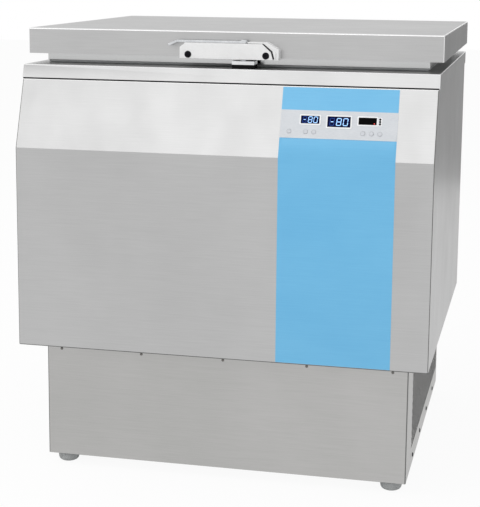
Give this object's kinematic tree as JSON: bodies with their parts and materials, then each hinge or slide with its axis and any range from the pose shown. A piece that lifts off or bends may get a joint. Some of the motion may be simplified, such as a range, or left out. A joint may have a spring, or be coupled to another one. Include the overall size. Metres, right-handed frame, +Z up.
{
  "type": "chest ultra low temperature freezer",
  "caption": "Top-opening freezer on a perforated machine base, with a slanted control face, an insulated tank and a latched hinged lid, for storing biological samples far below zero.",
  "frame": {"origin": "centre of the bounding box, at the floor, under the feet", "axes": "+Z up; -Y towards the operator, the side of the slanted control face; +X to the operator's right, the side of the blue decor panel"},
  "size_m": [0.808, 0.774, 0.8735],
  "materials": {
    "casing_steel": "satin",
    "tank_steel": "satin",
    "frame_steel": "satin",
    "decor_blue": "satin",
    "fascia_grey": "matte",
    "bezel_white": "gloss",
    "display_blue": "gloss",
    "lamp_black": "gloss",
    "key_grey": "matte",
    "board_green": "satin",
    "module_grey": "matte",
    "screw_black": "satin",
    "screw_steel": "satin",
    "foot_grey": "matte",
    "foam_cream": "matte",
    "liner_white": "satin",
    "gasket_grey": "matte",
    "latch_white": "satin",
    "lever_chrome": "polished",
    "striker_black": "matte",
    "compressor_black": "satin",
    "grommet_rubber": "matte",
    "copper": "satin",
    "fin_aluminium": "satin",
    "shroud_black": "satin",
    "fan_black": "matte",
    "motor_grey": "satin",
    "box_grey": "satin",
    "inlet_black": "matte",
    "rocker_black": "gloss"
  },
  "bodies": {
    "cabinet": {"base_frame": "frame_steel", "base_front_panel": "casing_steel", "grille_panel_left": "casing_steel", "grille_panel_right": "casing_steel", "base_rear_panel": "casing_steel", "base_screws": "screw_black", "feet": "foot_grey", "cabinet_floor": "frame_steel", "cabinet_side_left": "casing_steel", "cabinet_side_right": "casing_steel", "cabinet_back": "casing_steel", "cabinet_front_wall": "frame_steel", "cabinet_foam": "foam_cream", "inner_tank": "tank_steel", "evaporator_coil": "copper", "temperature_probe": "screw_steel", "breaker_collar": "liner_white", "rim_frame": "casing_steel", "front_cover": "casing_steel", "decor_panel": "decor_blue", "control_fascia": "fascia_grey", "display_bezels": "bezel_white", "display_windows": "display_blue", "indicator_lamps": "lamp_black", "control_module": "module_grey", "control_board": "board_green", "striker_plate": "lever_chrome", "striker_pad": "striker_black", "cabinet_hinge_leaves": "casing_steel", "hinge_pins": "screw_steel", "hinge_screws": "screw_steel", "compressor_first_stage": "compressor_black", "compressor_second_stage": "compressor_black", "compressor_grommets": "grommet_rubber", "condenser": "fin_aluminium", "fan_shroud": "shroud_black", "fan_motor": "motor_grey", "cascade_heat_exchanger": "foam_cream", "filter_driers": "copper", "refrigerant_pipes": "copper", "electrical_box": "box_grey", "mains_inlet": "inlet_black"},
    "lid": {"lid_shell": "casing_steel", "lid_foam": "foam_cream", "lid_liner": "tank_steel", "lid_gasket": "gasket_grey", "lid_hinge_leaves": "casing_steel", "latch_housing": "latch_white", "latch_cover_plate": "latch_white", "latch_screws": "screw_black"},
    "latch_lever": {"latch_lever": "lever_chrome", "latch_spindle": "lever_chrome"},
    "fan_rotor": {"fan_rotor": "fan_black"},
    "mains_rocker": {"mains_rocker": "rocker_black"},
    "key_1": {"key_1": "key_grey"},
    "key_2": {"key_2": "key_grey"},
    "key_3": {"key_3": "key_grey"},
    "key_4": {"key_4": "key_grey"},
    "key_5": {"key_5": "key_grey"},
    "key_6": {"key_6": "key_grey"}
  },
  "joints": [
    {"name": "lid_hinge", "type": "hinge", "parent": "cabinet", "child": "lid", "pos_m": [0, 0.379, 0.8145], "axis": [-1, 0, 0], "range_deg": [0, 80]},
    {"name": "latch_turn", "type": "hinge", "parent": "lid", "child": "latch_lever", "pos_m": [0.03, -0.309, 0.856], "axis": [0, 0, 1], "range_deg": [0, 70]},
    {"name": "fan_spin", "type": "hinge", "parent": "cabinet", "child": "fan_rotor", "pos_m": [0.272, 0.0135, 0.138], "axis": [1, 0, 0], "continuous": true},
    {"name": "rocker_tilt", "type": "hinge", "parent": "cabinet", "child": "mains_rocker", "pos_m": [0.271, 0.341, 0.099], "axis": [1, 0, 0], "range_deg": [-16, 0]},
    {"name": "key_1_press", "type": "slide", "parent": "cabinet", "child": "key_1", "axis": [0, 0.9439, -0.3304], "range_m": [0, 0.0005], "stiffness_N_per_m": 300},
    {"name": "key_2_press", "type": "slide", "parent": "cabinet", "child": "key_2", "axis": [0, 0.9439, -0.3304], "range_m": [0, 0.0005], "stiffness_N_per_m": 300},
    {"name": "key_3_press", "type": "slide", "parent": "cabinet", "child": "key_3", "axis": [0, 0.9439, -0.3304], "range_m": [0, 0.0005], "stiffness_N_per_m": 300},
    {"name": "key_4_press", "type": "slide", "parent": "cabinet", "child": "key_4", "axis": [0, 0.9439, -0.3304], "range_m": [0, 0.0005], "stiffness_N_per_m": 300},
    {"name": "key_5_press", "type": "slide", "parent": "cabinet", "child": "key_5", "axis": [0, 0.9439, -0.3304], "range_m": [0, 0.0005], "stiffness_N_per_m": 300},
    {"name": "key_6_press", "type": "slide", "parent": "cabinet", "child": "key_6", "axis": [0, 0.9439, -0.3304], "range_m": [0, 0.0005], "stiffness_N_per_m": 300}
  ]
}
